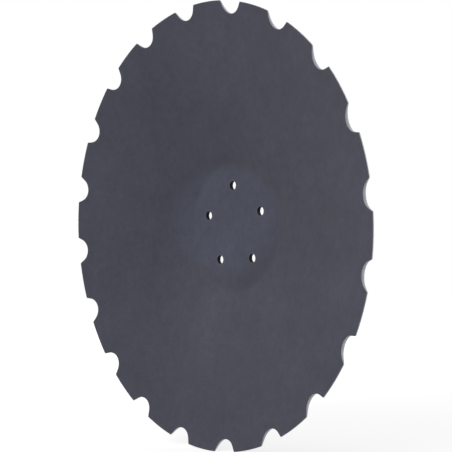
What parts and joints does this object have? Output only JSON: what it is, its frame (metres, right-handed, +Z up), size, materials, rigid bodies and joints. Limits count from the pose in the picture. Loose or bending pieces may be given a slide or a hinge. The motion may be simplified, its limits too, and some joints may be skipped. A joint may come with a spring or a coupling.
{
  "type": "disc harrow blade",
  "caption": "Dished round steel blade for a disc harrow, with a flat bolted centre, a conical wall and a notched rim ground to an edge from behind.",
  "frame": {"origin": "centre of the bolt circle, on the back face of the flat centre, where the hub's flange seats", "axes": "+Y along the blade's axis, out of the convex back towards the hub, so the hollow faces -Y; +Z up with the blade on edge, through one bolt hole; +X to the right as seen from the hollow side"},
  "size_m": [0.51, 0.052, 0.51],
  "materials": {
    "blade_steel": "satin slate-blue dip coat over pressed steel plate"
  },
  "bodies": {
    "root": {"disc_blade": "blade_steel"}
  },
  "joints": []
}
